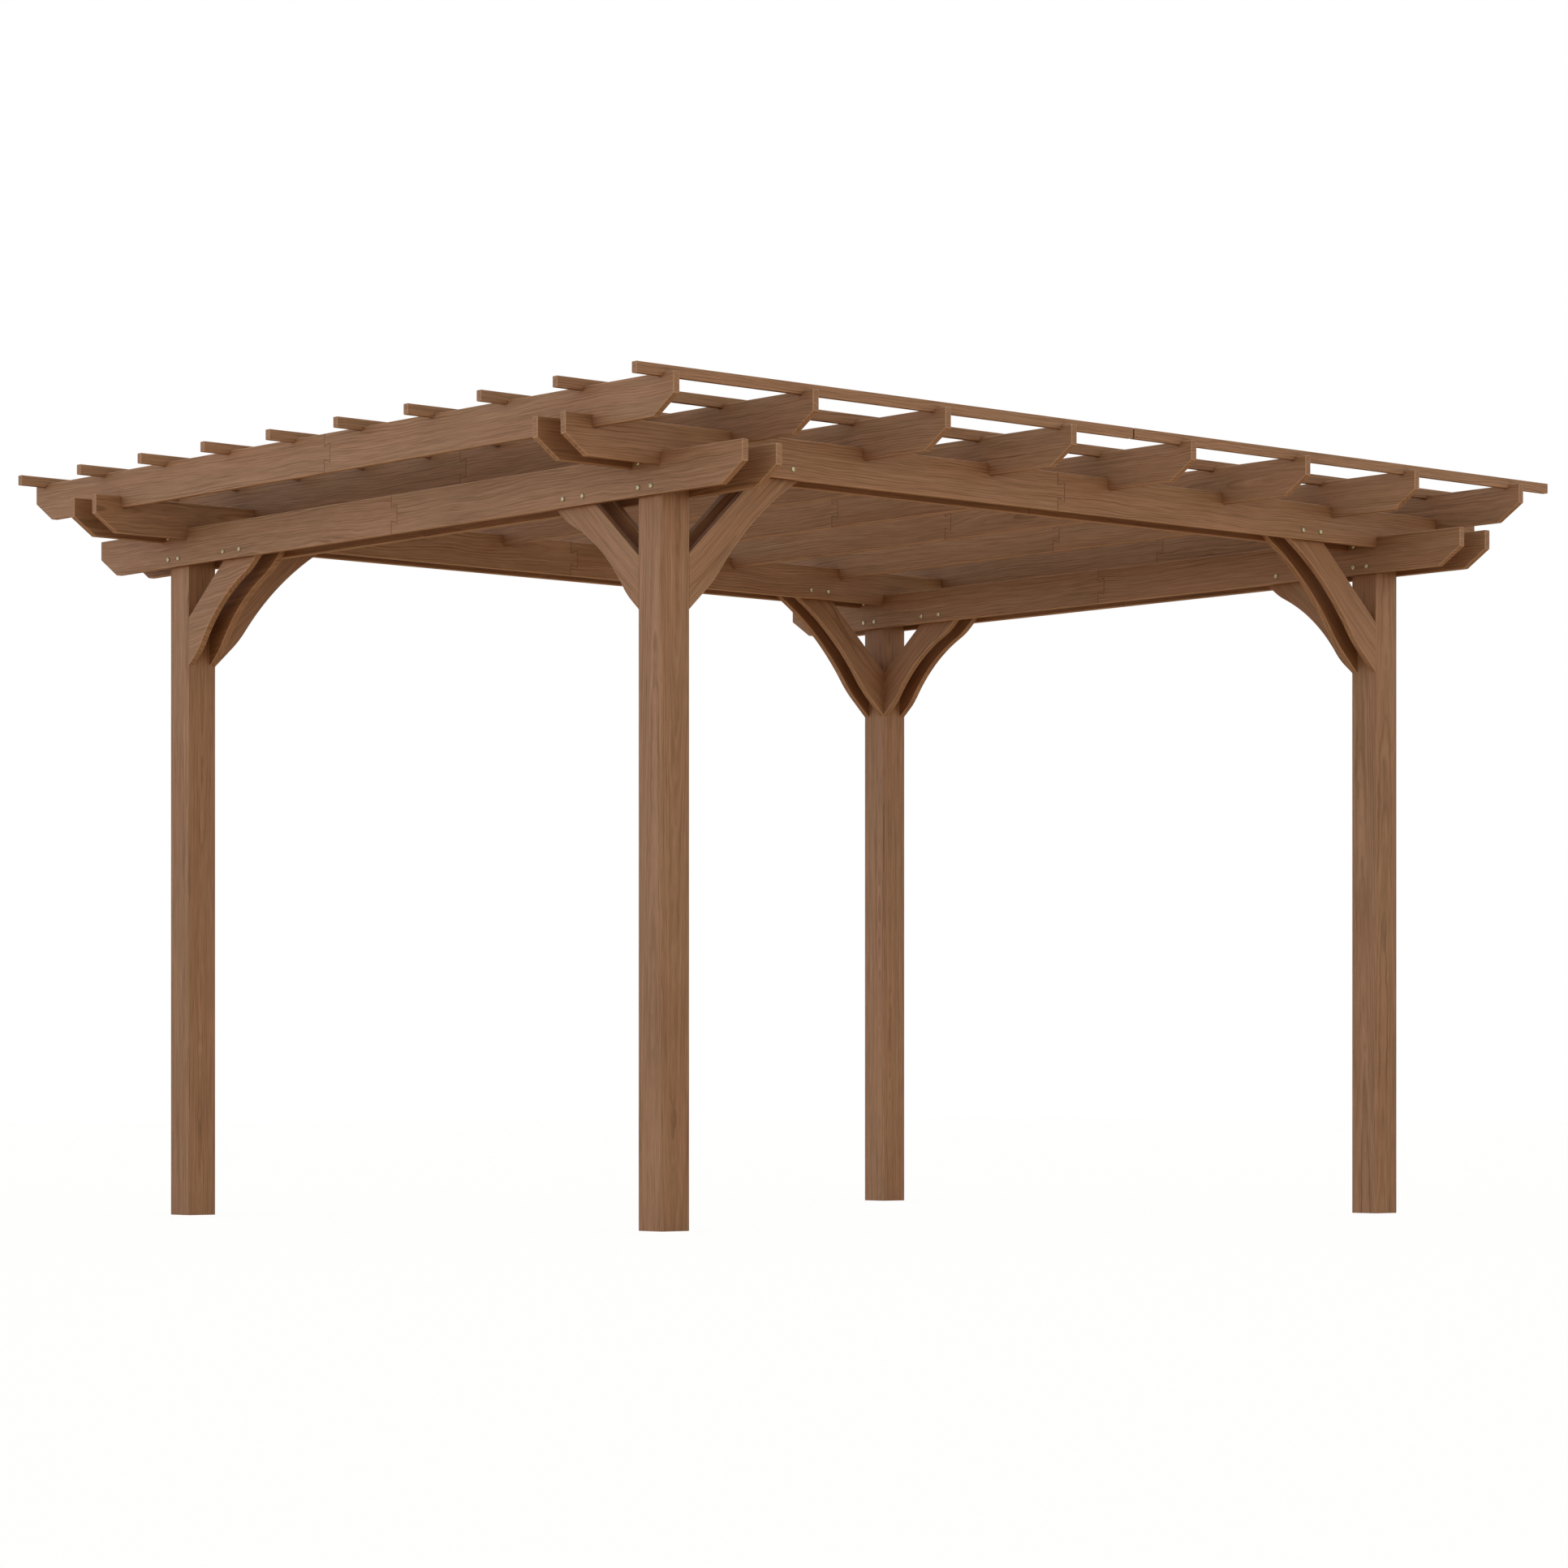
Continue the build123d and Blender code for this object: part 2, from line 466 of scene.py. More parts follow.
    def painted_corner_shade(self, graph: Graph) -> Signal:
        """Work out how much painted shade a place gets in a corner between timbers, with none near
        the ground.

        Args:
            graph: The material's graph.

        Returns:
            The painted shade's share, from 0 in the open to 1 deep in a corner.
        """
        inputs = {"Distance": self.painted_shade_reach}
        nearby = graph.node("ShaderNodeAmbientOcclusion", inputs, samples=self.painted_shade_samples)
        painted_shade_mask = (1.0 - graph.read(nearby, "AO")).above(*self.painted_shade_depths)
        # No painted shade near the ground, so the floor does not darken the posts' feet.
        place = graph.read(graph.node("ShaderNodeTexCoord"), "Object")
        height = graph.parts(place)[2]
        return painted_shade_mask * height.above(self.painted_shade_reach, 2.0 * self.painted_shade_reach)

    def material(self, zone: Zone) -> bpy.types.Material:
        """Make the finish for one zone of the timber.

        Args:
            zone: Where on the timber it lies.

        Returns:
            The material.
        """
        material = bpy.data.materials.new(f"{self.name}_{zone.name.lower()}")
        material.use_nodes = True
        graph = Graph(material.node_tree)
        tone, relief, hue = self.tone(graph)
        lit = self.stained(graph, zone, tone, hue)
        # The colour with painted shade, used in corners between timbers.
        painted_shade = graph.blend(1.0, lit, self.painted_shade_tint, "MULTIPLY")
        bump = graph.node(
            "ShaderNodeBump",
            {"Strength": self.relief_strength, "Distance": self.relief_height, "Height": relief},
        )
        shader = graph.node(
            "ShaderNodeBsdfPrincipled",
            {
                # Base colour moves from the open colour to the painted shade in corners.
                "Base Color": graph.blend(self.painted_corner_shade(graph), lit, painted_shade),
                "Roughness": self.roughness + relief * self.roughness_spread,
                "Specular IOR Level": self.specular,
                "Normal": graph.read(bump, "Normal"),
            },
        )
        graph.surface(shader)
        return material

    def materials(self) -> list[bpy.types.Material]:
        """Return the finish of every zone, in the order of their slots."""
        return [self.material(zone) for zone in Zone]


@dataclass(frozen=True)
class ZincPlate:
    """Yellowish zinc plating on a pressed steel bolt head; its default colours are pale, a painted
    highlight.
    """

    name: str
    # Pale defaults, used on the crown as a painted highlight.
    bright: Colour = shade(238, 232, 208)
    dull: Colour = shade(186, 182, 152)
    patches: Mottle = Mottle(along=400.0, across=400.0, detail=3.0, roughness=0.6)
    patch_edges: tuple[float, float] = (0.35, 0.7)
    metallic: float = 0.85
    roughness: float = 0.28
    roughness_spread: float = 0.2

    def material(self) -> bpy.types.Material:
        """Make the plating, duller in patches."""
        material = bpy.data.materials.new(self.name)
        material.use_nodes = True
        graph = Graph(material.node_tree)
        place = graph.read(graph.node("ShaderNodeTexCoord"), "Object")
        patch = self.patches.level(graph, *graph.parts(place)) + 0.5
        shader = graph.node(
            "ShaderNodeBsdfPrincipled",
            {
                "Base Color": graph.blend(patch.above(*self.patch_edges), self.bright, self.dull),
                "Roughness": self.roughness + patch * self.roughness_spread,
                "Metallic": self.metallic,
            },
        )
        graph.surface(shader)
        return material


def only(*objects: bpy.types.Object) -> None:
    """Select these objects and no other, and make the first one active."""
    bpy.ops.object.select_all(action="DESELECT")
    for each in objects:
        each.select_set(True)
    bpy.context.view_layer.objects.active = objects[0]


def finish_piece(piece: bpy.types.Object, name: str) -> None:
    """Name a finished piece and let it ride on the frame."""
    piece.name = name
    piece.data.name = name
    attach(piece, "root")


@dataclass(frozen=True)
class LogCut:
    """Where the heart of the log lay when lengths of one kind were sawn from it.

    Most lengths have the heart to one side of their wide face, which leaves long lines on it,
    and a few have it behind the face, which leaves arches.
    """

    aside: tuple[float, float] = (66.0 * MM, 120.0 * MM)
    behind: tuple[float, float] = (5.0 * MM, 50.0 * MM)
    plain_share: float = 0.1
    plain_aside: tuple[float, float] = (0.0, 28.0 * MM)
    plain_behind: tuple[float, float] = (16.0 * MM, 40.0 * MM)
    start: tuple[float, float] = (0.0, 40.0)
    slant_across: float = 0.012
    slant_through: float = 0.014

    def heart(self, chance: random.Random) -> tuple[float, float]:
        """Choose the heart's place for one length.

        Args:
            chance: The length's own source of chance.

        Returns:
            How far the heart lies to a side and behind the face.
        """
        plain = chance.random() < self.plain_share
        aside, behind = (
            (self.plain_aside, self.plain_behind) if plain else (self.aside, self.behind)
        )
        return chance.uniform(*aside), chance.uniform(*behind)


@dataclass
class Cut:
    """One loose length of timber on the bench, with its own directions."""

    piece: bpy.types.Object
    along: Vector
    across: Vector
    through: Vector

    def __post_init__(self) -> None:
        """Find the length's extent along each of its directions."""
        corners = [vertex.co for vertex in self.piece.data.vertices]
        self.low = Vector(min(c @ d for c in corners) for d in self.directions)
        self.high = Vector(max(c @ d for c in corners) for d in self.directions)

    @property
    def directions(self) -> tuple[Vector, Vector, Vector]:
        """Directions along, across and through the timber."""
        return self.along, self.across, self.through

    def local(self, point: Vector) -> Vector:
        """Return a point's places along, across and through the timber."""
        return Vector(point @ direction for direction in self.directions)

    def bevel(self, width: float, segments: int, zone: Zone, wanted: list[bool]) -> None:
        """Round some edges.

        Args:
            width: How far the rounding reaches from the edge.
            segments: How many faces it has.
            zone: The finish of its faces.
            wanted: True for each edge that is rounded.
        """
        mesh = self.piece.data
        for part in (mesh.polygons, mesh.edges, mesh.vertices):
            part.foreach_set("select", [False] * len(part))
        for edge, chosen in zip(mesh.edges, wanted):
            edge.select = chosen
            for index in edge.vertices:
                mesh.vertices[index].select |= chosen
        only(self.piece)
        bpy.context.tool_settings.mesh_select_mode = (False, True, False)
        bpy.ops.object.mode_set(mode="EDIT")
        bpy.ops.mesh.bevel(
            offset_type="OFFSET",
            offset=width,
            segments=segments,
            profile=0.5,
            affect="EDGES",
            clamp_overlap=True,
            material=zone.value,
        )
        bpy.ops.object.mode_set(mode="OBJECT")

    def edges(self) -> list[tuple[Vector, Vector]]:
        """Return the local places of each edge's two ends."""
        mesh = self.piece.data
        points = [self.local(vertex.co) for vertex in mesh.vertices]
        return [(points[a], points[b]) for a, b in (edge.vertices for edge in mesh.edges)]

    def lay_grain(self, chance: random.Random, log_cut: LogCut) -> None:
        """Write each vertex's place along and around the heart line that the length was sawn from.

        Args:
            chance: The length's own source of chance.
            log_cut: How such lengths were sawn.
        """
        middle = (self.low + self.high) / 2.0
        start = chance.uniform(*log_cut.start)
        aside, behind = log_cut.heart(chance)
        heart_across = chance.choice((-1.0, 1.0)) * aside
        heart_through = chance.choice((-1.0, 1.0)) * behind
        slope_across = chance.uniform(-log_cut.slant_across, log_cut.slant_across)
        slope_through = chance.uniform(-log_cut.slant_through, log_cut.slant_through)
        mesh = self.piece.data
        values: list[float] = []
        for vertex in mesh.vertices:
            along, across, through = self.local(vertex.co) - middle
            values.append(start + along)
            values.append(across - heart_across - slope_across * along)
            values.append(through - heart_through - slope_through * along)
        attribute = mesh.attributes.new(GRAIN, "FLOAT_VECTOR", "POINT")
        attribute.data.foreach_set("vector", values)


@dataclass
class Timbers:
    """Timbers of one kind, each cut from its node of the frame, eased and stained."""

    nodes: list[str]
    run: Run
    slot: str
    finish: StainedTimber
    ease: float = 2.0 * MM
    ease_faces: int = 2
    seam_ease: float = 0.7 * MM
    merge_reach: float = 0.02 * MM
    flat_angle: float = math.radians(0.6)
    smooth_angle: float = math.radians(35.0)
    log_cut: LogCut = LogCut()

    def make(self) -> None:
        """Dress every timber of this kind."""
        materials = self.finish.materials()
        for node in self.nodes:
            piece = self.dress(node, materials)
            log.info("%s: %d faces", piece.name, len(piece.data.polygons))

    def dress(self, node: str, materials: list[bpy.types.Material]) -> bpy.types.Object:
        """Make the shown timber that stands for a node.

        Args:
            node: The node's name.
            materials: The finish of each zone.

        Returns:
            The dressed timber.
        """
        lengths = self.cut_lengths(node, materials)
        for number, piece in enumerate(lengths):
            chance = random.Random(f"{node} length {number}")
            cut = self.measure(node, piece)
            arrises = [self.eased(cut, start, end) for start, end in cut.edges()]
            cut.bevel(self.ease, self.ease_faces, Zone.ARRIS, arrises)
            seams = [self.seamed(cut, start, end) for start, end in cut.edges()]
            if any(seams):
                cut.bevel(self.seam_ease, 1, Zone.SEAM, seams)
            cut.lay_grain(chance, self.log_cut)
        only(*lengths)
        if len(lengths) > 1:
            bpy.ops.object.join()
        piece = lengths[0]
        bpy.ops.object.shade_smooth_by_angle(angle=self.smooth_angle)
        bpy.ops.object.modifier_add(type="WEIGHTED_NORMAL")
        piece.modifiers[-1].keep_sharp = True
        bpy.ops.object.modifier_apply(modifier=piece.modifiers[-1].name)
        finish_piece(piece, f"stained_{node}")
        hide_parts(node)
        return piece

    def cut_lengths(self, node: str, materials: list[bpy.types.Material]) -> list[bpy.types.Object]:
        """Copy a node and part it into its loose lengths.

        Args:
            node: The node's name.
            materials: The finish of each zone.

        Returns:
            The lengths, in order of their place.
        """
        before = set(bpy.data.objects)
        mesh = frame["nodes"][node].data.copy()
        mesh.materials.clear()
        for material in materials:
            mesh.materials.append(material)
        mesh.polygons.foreach_set("material_index", [0] * len(mesh.polygons))
        piece = bpy.data.objects.new(node + "_blank", mesh)
        bpy.context.scene.collection.objects.link(piece)
        only(piece)
        bpy.ops.object.mode_set(mode="EDIT")
        bpy.ops.mesh.select_all(action="SELECT")
        bpy.ops.mesh.remove_doubles(threshold=self.merge_reach)
        bpy.ops.mesh.dissolve_limited(angle_limit=self.flat_angle)
        bpy.ops.mesh.separate(type="LOOSE")
        bpy.ops.object.mode_set(mode="OBJECT")
        lengths = [o for o in bpy.data.objects if o not in before]

        def order(each: bpy.types.Object) -> tuple[float, ...]:
            """Return the middle of a length's box, rounded."""
            corners = [Vector(corner) for corner in each.bound_box]
            middle = sum(corners, Vector()) / len(corners)
            return tuple(round(place, 4) for place in middle)

        return sorted(lengths, key=order)

    def measure(self, node: str, piece: bpy.types.Object) -> Cut:
        """Return a length with its directions."""
        return Cut(piece, self.run.along, self.run.across, self.run.through)

    def eased(self, cut: Cut, start: Vector, end: Vector) -> bool:
        """Tell if an edge is rounded off; here every edge is."""
        return True

    def seamed(self, cut: Cut, start: Vector, end: Vector) -> bool:
        """Tell if an edge lies at a splice; here none does."""
        return False


@dataclass
class Posts(Timbers):
    """Square posts, whose long arrises are rounded in the frame already."""

    def eased(self, cut: Cut, start: Vector, end: Vector) -> bool:
        """Tell if an edge lies round the head or the foot.

        Args:
            cut: The post; not used.
            start: Local place of the edge's first end.
            end: Local place of the edge's second end.

        Returns:
            True if the edge is rounded off.
        """
        return abs(start.x - end.x) < TOUCH


@dataclass
class Boards(Timbers):
    """Beam and rafter boards, cut on a slant at both ends, notched, and spliced at mid length."""

    end_cut: float = 86.0 * MM
    splice_reach: float = 20.0 * MM

    def eased(self, cut: Cut, start: Vector, end: Vector) -> bool:
        """Tell if an edge is a long arris or belongs to the end cut.

        Args:
            cut: The length of board.
            start: Local place of the edge's first end.
            end: Local place of the edge's second end.

        Returns:
            True if the edge is rounded off.
        """
        middle = (start + end) / 2.0
        runs_along = abs(start.y - end.y) < TOUCH and abs(start.z - end.z) < TOUCH
        outermost = max(abs(cut.low.x), abs(cut.high.x))
        at_rim = min(abs(middle.y - cut.low.y), abs(middle.y - cut.high.y)) < TOUCH
        at_end = abs(middle.x) > outermost - self.end_cut - TOUCH
        return (runs_along and at_rim) or (at_end and not runs_along)

    def seamed(self, cut: Cut, start: Vector, end: Vector) -> bool:
        """Tell if an edge shows where the splice meets the board's outside.

        Args:
            cut: The length of board.
            start: Local place of the edge's first end.
            end: Local place of the edge's second end.

        Returns:
            True if the edge belongs to the splice's outline.
        """
        middle = (start + end) / 2.0
        beside = max(abs(start.x), abs(end.x)) < self.splice_reach
        on_face = min(middle.z - cut.low.z, cut.high.z - middle.z) < self.ease + TOUCH
        on_rim = min(middle.y - cut.low.y, cut.high.y - middle.y) < TOUCH
        return beside and (on_face or on_rim)


@dataclass
class KneeBraces(Timbers):
    """Arched knee brace plates, in pairs between the beams."""

    angle: float = field(kw_only=True)
    level_grain: tuple[str, ...] = ()
    level_grain_angle: float = 6.0
    least_steepness: float = 0.02
    most_steepness: float = 0.998

    def measure(self, node: str, piece: bpy.types.Object) -> Cut:
        """Return a plate with its grain along the brace.

        Args:
            node: The node's name.
            piece: The plate.

        Returns:
            The plate with its directions.
        """
        low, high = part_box(node)
        centre = (low + high) / 2.0
        inward = self.run.along * -math.copysign(1.0, centre @ self.run.along)
        slope = math.radians(self.level_grain_angle if node in self.level_grain else self.angle)
        along = inward * math.cos(slope) + Z * math.sin(slope)
        across = Z * math.cos(slope) - inward * math.sin(slope)
        return Cut(piece, along, across, self.run.through)

    def eased(self, cut: Cut, start: Vector, end: Vector) -> bool:
        """Tell if an edge follows the plate's outline, away from the post and its top cut.

        Args:
            cut: The plate.
            start: Local place of the edge's first end.
            end: Local place of the edge's second end.

        Returns:
            True if the edge is rounded off.
        """
        if abs(start.z - end.z) > TOUCH:
            return False
        rise = (end.x - start.x) * cut.along.z + (end.y - start.y) * cut.across.z
        reach = math.hypot(end.x - start.x, end.y - start.y)
        return self.least_steepness * reach < abs(rise) < self.most_steepness * reach


@dataclass
class BoltHead:
    """A domed bolt head with a cross recess, on a thin rim, modelled facing up."""

    sides: int = 20
    rim_radius: float = 8.0 * MM
    rim_height: float = 1.0 * MM
    dome_steps: tuple[tuple[float, float], ...] = (
        (1.0 * MM, 0.1 * MM),
        (0.25 * MM, 1.5 * MM),
        (0.9 * MM, 1.1 * MM),
        (1.4 * MM, 0.8 * MM),
        (1.5 * MM, 0.3 * MM),
    )
    crown_radius: float = 5.2 * MM
    recess_half: float = 3.0 * MM
    recess_width: float = 1.2 * MM
    recess_depth: float = 1.8 * MM
    facing_up: float = 0.7
    smooth_angle: float = math.radians(40.0)

    def head(self) -> bpy.types.Object:
        """Make the rim and the dome over it, which steps inward and upward.

        Returns:
            The head without its recess.
        """
        bpy.ops.object.select_all(action="DESELECT")
        bpy.ops.mesh.primitive_cylinder_add(
            vertices=self.sides,
            radius=self.rim_radius,
            depth=self.rim_height,
            location=(0.0, 0.0, self.rim_height / 2.0),
        )
        head = bpy.context.object
        self.pick(head, lambda normal: normal.z > self.facing_up)
        bpy.ops.object.mode_set(mode="EDIT")
        for inward, upward in self.dome_steps:
            bpy.ops.mesh.inset(thickness=inward, depth=upward)
        bpy.ops.object.mode_set(mode="OBJECT")
        return head

    def cutter(self, height: float) -> bpy.types.Object:
        """Make the cross that is cut out of the head.

        Args:
            height: The head's full height.

        Returns:
            The cross.
        """
        bpy.ops.object.select_all(action="DESELECT")
        bpy.ops.mesh.primitive_cube_add(size=1.0, location=(0.0, 0.0, 0.0))
        cross = bpy.context.object
        tall = self.recess_depth * 2.0
        cross.scale = (self.recess_width, self.recess_width, tall)
        cross.location = (0.0, 0.0, height - self.recess_depth + tall / 2.0)
        bpy.ops.object.transform_apply(location=True, rotation=False, scale=True)
        self.pick(cross, lambda normal: abs(normal.z) < self.facing_up)
        bpy.ops.object.mode_set(mode="EDIT")
        arm = self.recess_half - self.recess_width / 2.0
        bpy.ops.mesh.inset(thickness=0.0, depth=arm, use_individual=True)
        bpy.ops.object.mode_set(mode="OBJECT")
        return cross

    @staticmethod
    def pick(piece: bpy.types.Object, test: Callable[[Vector], bool]) -> None:
        """Select the faces whose normal passes a test.

        Args:
            piece: The piece.
            test: Tells from a face's normal if it is selected.
        """
        mesh = piece.data
        for part in (mesh.vertices, mesh.edges, mesh.polygons):
            part.foreach_set("select", [False] * len(part))
        bpy.context.tool_settings.mesh_select_mode = (False, False, True)
        for face in mesh.polygons:
            face.select = test(face.normal)

    def make(self, platings: list[bpy.types.Material]) -> bpy.types.Object:
        """Model one head.

        Args:
            platings: The plating on its crown, pale as a painted highlight, and, darker as a
                painted shade, round it.

        Returns:
            The finished head, at the origin.
        """
        head = self.head()
        height = max(vertex.co.z for vertex in head.data.vertices)
        cross = self.cutter(height)
        only(head)
        bpy.ops.object.modifier_add(type="BOOLEAN")
        recess = head.modifiers[-1]
        recess.operation = "DIFFERENCE"
        recess.solver = "EXACT"
        recess.object = cross
        bpy.ops.object.modifier_apply(modifier=recess.name)
        bpy.data.objects.remove(cross)
        bpy.ops.object.shade_smooth_by_angle(angle=self.smooth_angle)
        head.data.materials.clear()
        for plating in platings:
            head.data.materials.append(plating)
        # The crown gets the pale plating, a painted highlight; the rest gets the darker one, a
        # painted shade.
        for face in head.data.polygons:
            inside = face.center.xy.length < self.crown_radius
            on_crown = inside and face.normal.z > self.facing_up
            face.material_index = 0 if on_crown else 1
        head.name = "bolt_head_blank"
        return head


@dataclass
class Bolts:
    """Bolts through the beams: four at each post, in the lower pair, and two at each knee brace."""

    post_bolts: tuple[float, float] = (-30.0 * MM, 24.0 * MM)
    post_bolt_levels: tuple[float, float] = (1996.5 * MM, 2062.0 * MM)
    cross_brace_bolts: tuple[float, float] = (262.0 * MM, 347.0 * MM)
    cross_brace_level: float = 1996.5 * MM
    long_brace_bolts: tuple[float, float] = (325.0 * MM, 402.0 * MM)
    long_brace_level: float = 2077.5 * MM

    def lower_places(self) -> list[tuple[float, float]]:
        """List the bolts at one end of a lower beam.

        Returns:
            Each bolt's distance from the post's middle, towards the pergola's, and its height.
        """
        at_post = [(place, level) for place in self.post_bolts for level in self.post_bolt_levels]
        return at_post + [(place, self.cross_brace_level) for place in self.cross_brace_bolts]

    def upper_places(self) -> list[tuple[float, float]]:
        """List the bolts at one end of an upper beam.

        Returns:
            Each bolt's distance from the post's middle, towards the pergola's, and its height.
        """
        return [(place, self.long_brace_level) for place in self.long_brace_bolts]

    @staticmethod
    def fasten(blank: bpy.types.Object, name: str, facing: Vector, spots: list[Vector]) -> None:
        """Set bolt heads along one face of a beam.

        Args:
            blank: The head that is copied.
            name: The new piece's name.
            facing: The way that the face looks.
            spots: The middle of each head's foot.
        """
        chance = random.Random(name)
        heads: list[bpy.types.Object] = []
        turn_out = Z.rotation_difference(facing).to_matrix().to_4x4()
        for spot in spots:
            mesh = blank.data.copy()
            spin = Matrix.Rotation(chance.uniform(0.0, math.pi / 2.0), 4, "Z")
            mesh.transform(Matrix.Translation(spot) @ turn_out @ spin)
            head = bpy.data.objects.new(name, mesh)
            bpy.context.scene.collection.objects.link(head)
            heads.append(head)
        only(*heads)
        bpy.ops.object.join()
        finish_piece(heads[0], name)
        log.info("%s: %d heads", name, len(spots))

    def fasten_beam(
        self, blank: bpy.types.Object, beam: str, run: Run, places: list[tuple[float, float]]
    ) -> None:
        """Set the bolt heads of both ends of a beam, on the face that looks away from the posts.

        Args:
            blank: The head that is copied.
            beam: The beam's node.
            run: The way that it runs.
            places: Distance from the post's middle and height of each bolt at one end.
        """
        low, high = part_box(beam)
        post_low, post_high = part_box("post_back")
        post = (post_low + post_high) / 2.0
        board_place = (low + high) @ run.through / 2.0
        row_place = math.copysign(post @ run.through, board_place)
        facing = run.through * math.copysign(1.0, board_place - row_place)
        outside = max(low @ facing, high @ facing)
        spots = [
            facing * outside + run.along * (end * (post @ run.along - place)) + Z * height
            for end in (-1.0, 1.0)
            for place, height in places
        ]
        kind, number = beam.rsplit("_", 1)
        self.fasten(blank, f"{kind}_bolts_{number}", facing, spots)

    def make(self, platings: list[bpy.types.Material]) -> None:
        """Set every bolt head on the beams.

        Args:
            platings: The plating on a head's crown, a painted highlight, and round it, a painted
                shade.
        """
        blank = BoltHead().make(platings)
        for lower, upper in zip(numbered("lower_beam"), numbered("upper_beam")):
            self.fasten_beam(blank, lower, Run.CROSSWAYS, self.lower_places())
            self.fasten_beam(blank, upper, Run.LENGTHWAYS, self.upper_places())
        bpy.data.objects.remove(blank)


@dataclass
class Studio:
    """A pale floor, soft light all round and the camera."""

    floor_size: float = 80.0
    floor_gap: float = 0.5 * MM
    floor_paper: Colour = (0.9, 0.9, 0.9, 1.0)
    floor_glow: float = 1.035
    floor_glow_share: float = 0.9
    floor_bounce: Colour = (0.93, 0.70, 0.47, 1.0)
    horizon_light: float = 3.95
    zenith_light: float = 0.5
    horizon_narrowness: float = 4.0
    overhead: Colour = (1.0, 0.94, 0.84, 1.0)
    left_side: Colour = (1.10, 1.19, 1.28, 1.0)
    right_side: Colour = (0.87, 0.84, 0.74, 1.0)
    camera_place: tuple[float, float, float] = (-9.4368, -10.6997, 0.3696)
    camera_heading: float = 0.849
    camera_sensor: float = 36.0
    camera_lens: float = 106.48
    camera_rise: float = 0.19746
    camera_aside: float = 0.00026
    camera_range: float = 200.0

    def floor_material(self) -> bpy.types.Material:
        """Make the floor's finish: white to the camera, and warm in the light it throws up.

        Returns:
            The material.
        """
        material = bpy.data.materials.new("studio_floor")
        material.use_nodes = True
        graph = Graph(material.node_tree)
        paper = graph.node("ShaderNodeBsdfDiffuse", {"Color": self.floor_paper})
        glow = graph.node("ShaderNodeEmission", {"Color": WHITE, "Strength": self.floor_glow})
        bounce = graph.node("ShaderNodeBsdfDiffuse", {"Color": self.floor_bounce})
        rays = graph.node("ShaderNodeLightPath")
        seen = graph.merge(self.floor_glow_share, paper, glow)
        graph.surface(graph.merge(graph.read(rays, "Is Camera Ray"), bounce, seen))
        return material

    def make_floor(self) -> None:
        """Lay the floor, which looks white and keeps a faint shadow."""
        bpy.ops.object.select_all(action="DESELECT")
        bpy.ops.mesh.primitive_plane_add(
            size=self.floor_size, location=(0.0, 0.0, -self.floor_gap)
        )
        floor = bpy.context.object
        floor.name = "studio_floor"
        bpy.ops.object.transform_apply(location=True, rotation=True, scale=True)
        floor.data.materials.append(self.floor_material())

    def make_light(self) -> None:
        """Light the scene softly from all round, brightest near the horizon.

        Where the camera, a mirror or glass would see the light itself, it is plain white.
        """
        world = bpy.data.worlds.new("studio_light")
        world.use_nodes = True
        bpy.context.scene.world = world
        graph = Graph(world.node_tree)
        way = graph.read(graph.node("ShaderNodeTexCoord"), "Generated")
        x, y, z = graph.parts(way)
        from_left = graph.blend(0.0 - x, WHITE, self.left_side)
        from_right = graph.blend(0.0 - y, WHITE, self.right_side)
        low_tint = graph.blend(1.0, from_left, from_right, "MULTIPLY")
        high_tint = graph.blend(1.0, low_tint, self.overhead, "MULTIPLY")
        low_share = (1.0 - graph.maths("MAXIMUM", z, 0.0)) ** self.horizon_narrowness
        light = self.zenith_light + (self.horizon_light - self.zenith_light) * low_share
        tint = graph.blend(low_share, high_tint, low_tint)
        rays = graph.node("ShaderNodeLightPath")
        seen: Signal | float = 0.0
        for ray in ("Is Camera Ray", "Is Glossy Ray", "Is Transmission Ray"):
            seen = graph.maths("MAXIMUM", seen, graph.read(rays, ray))
        strength = seen + (1.0 - seen) * light
        colour = graph.blend(seen, tint, WHITE)
        background = graph.node("ShaderNodeBackground", {"Color": colour, "Strength": strength})
        graph.surface(background, "ShaderNodeOutputWorld")

    def make_camera(self) -> None:
        """Set up the level camera with its frame raised."""
        bpy.ops.object.camera_add(
            location=self.camera_place,
            rotation=(math.pi / 2.0, 0.0, self.camera_heading - math.pi / 2.0),
        )
        camera = bpy.context.object
        camera.name = "studio_camera"
        camera.data.sensor_fit = "HORIZONTAL"
        camera.data.sensor_width = self.camera_sensor
        camera.data.lens = self.camera_lens
        camera.data.shift_x = self.camera_aside
        camera.data.shift_y = self.camera_rise
        camera.data.clip_end = self.camera_range
        bpy.context.scene.camera = camera

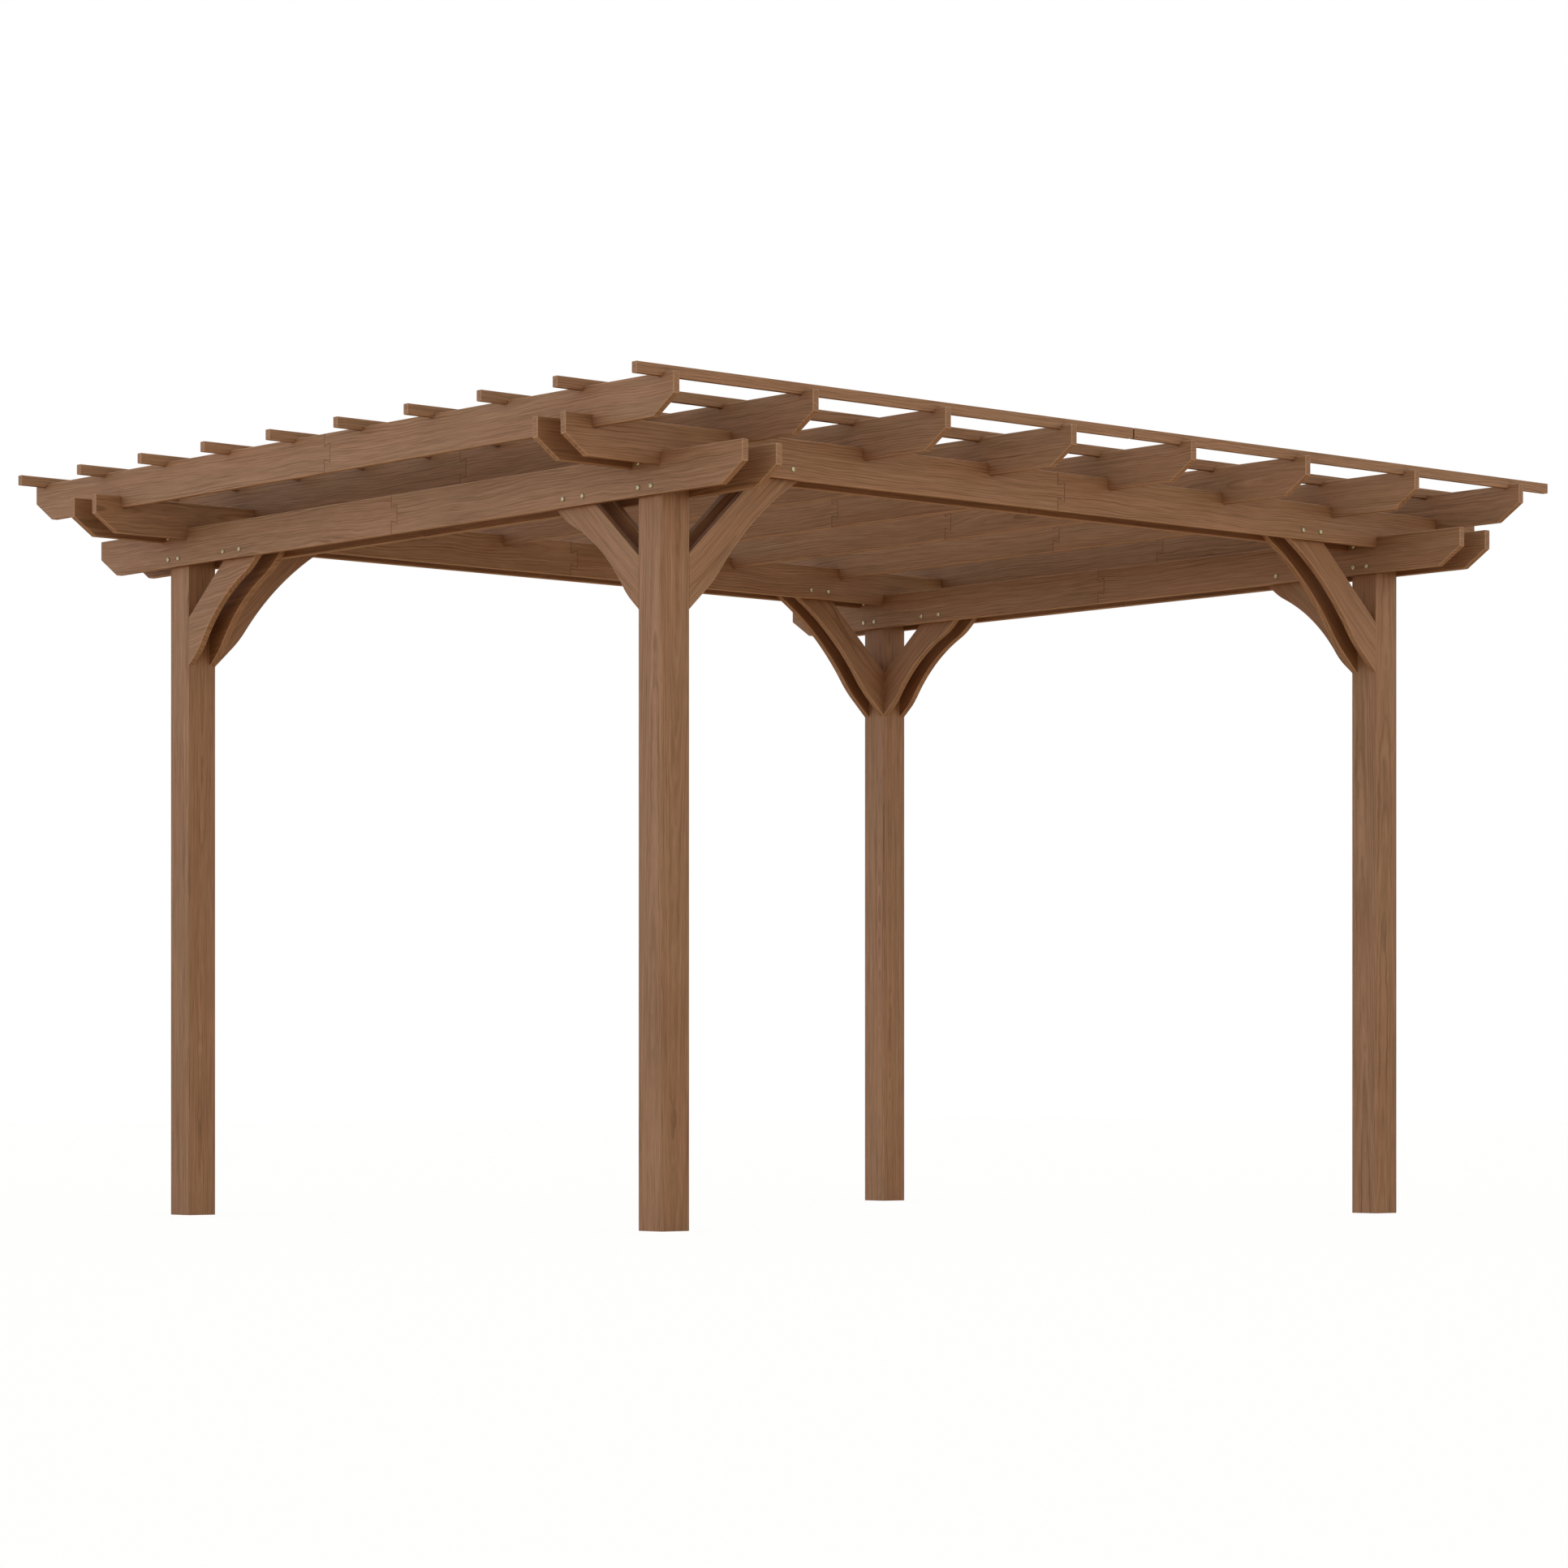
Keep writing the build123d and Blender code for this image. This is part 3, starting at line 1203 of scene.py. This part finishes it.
    def make(self) -> None:
        """Set up the whole studio."""
        self.make_floor()
        self.make_light()
        self.make_camera()
        bpy.context.scene.view_settings.view_transform = "Standard"
        log.info("studio: floor, light and camera")


def numbered(kind: str) -> list[str]:
    """Return the names of a kind's nodes in the frame, in the order of their numbers."""
    count = sum(node.startswith(f"{kind}_") for node in frame["nodes"])
    return [f"{kind}_{number}" for number in range(1, count + 1)]


def cornered(kind: str) -> list[str]:
    """Return the names of a kind's nodes at the four corners."""
    return [f"{kind}_{corner}" for corner in CORNERS]


def main() -> None:
    """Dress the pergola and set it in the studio."""
    logging.basicConfig(level=logging.INFO, format="%(message)s")
    stained = StainedTimber("stained_board")
    straight = StainedTimber(
        "stained_post",
        ring_width=6.0 * MM,
        wander=Mottle(along=0.9, across=7.0, roughness=0.45),
        wander_reach=6.0 * MM,
        line_strength=0.3,
    )
    plain = LogCut(
        plain_share=1.0, plain_aside=(0.0, 25.0 * MM), plain_behind=(5.0 * MM, 60.0 * MM)
    )
    along, across = Run.LENGTHWAYS, Run.CROSSWAYS
    groups = [
        Posts(cornered("post"), Run.UPRIGHT, "post_timber", straight, ease=1.5 * MM, log_cut=plain),
        Boards(numbered("lower_beam"), across, "lower_beam_timber", stained),
        Boards(numbered("upper_beam"), along, "upper_beam_timber", stained, end_cut=76.0 * MM),
        Boards(numbered("rafter"), across, "rafter_timber", stained),
        Timbers(numbered("batten"), along, "batten_timber", stained, ease=1.5 * MM),
        KneeBraces(
            cornered("cross_brace"),
            across,
            "brace_timber",
            stained,
            angle=40.4,
            level_grain=("cross_brace_near_left",),
        ),
        KneeBraces(cornered("long_brace"), along, "brace_timber", stained, angle=43.5),
    ]
    for group in groups:
        group.make()
    # Lit and shaded copies of one plating: the crown's pale colours are a painted highlight, the
    # rim's darker ones a painted shade.
    crown = ZincPlate("zinc_crown_painted_highlight")
    painted_shade = ZincPlate("zinc_rim_painted_shade", bright=shade(152, 145, 112), dull=shade(106, 100, 72))
    Bolts().make([crown.material(), painted_shade.material()])
    Studio().make()


if __name__ == "__main__":
    main()
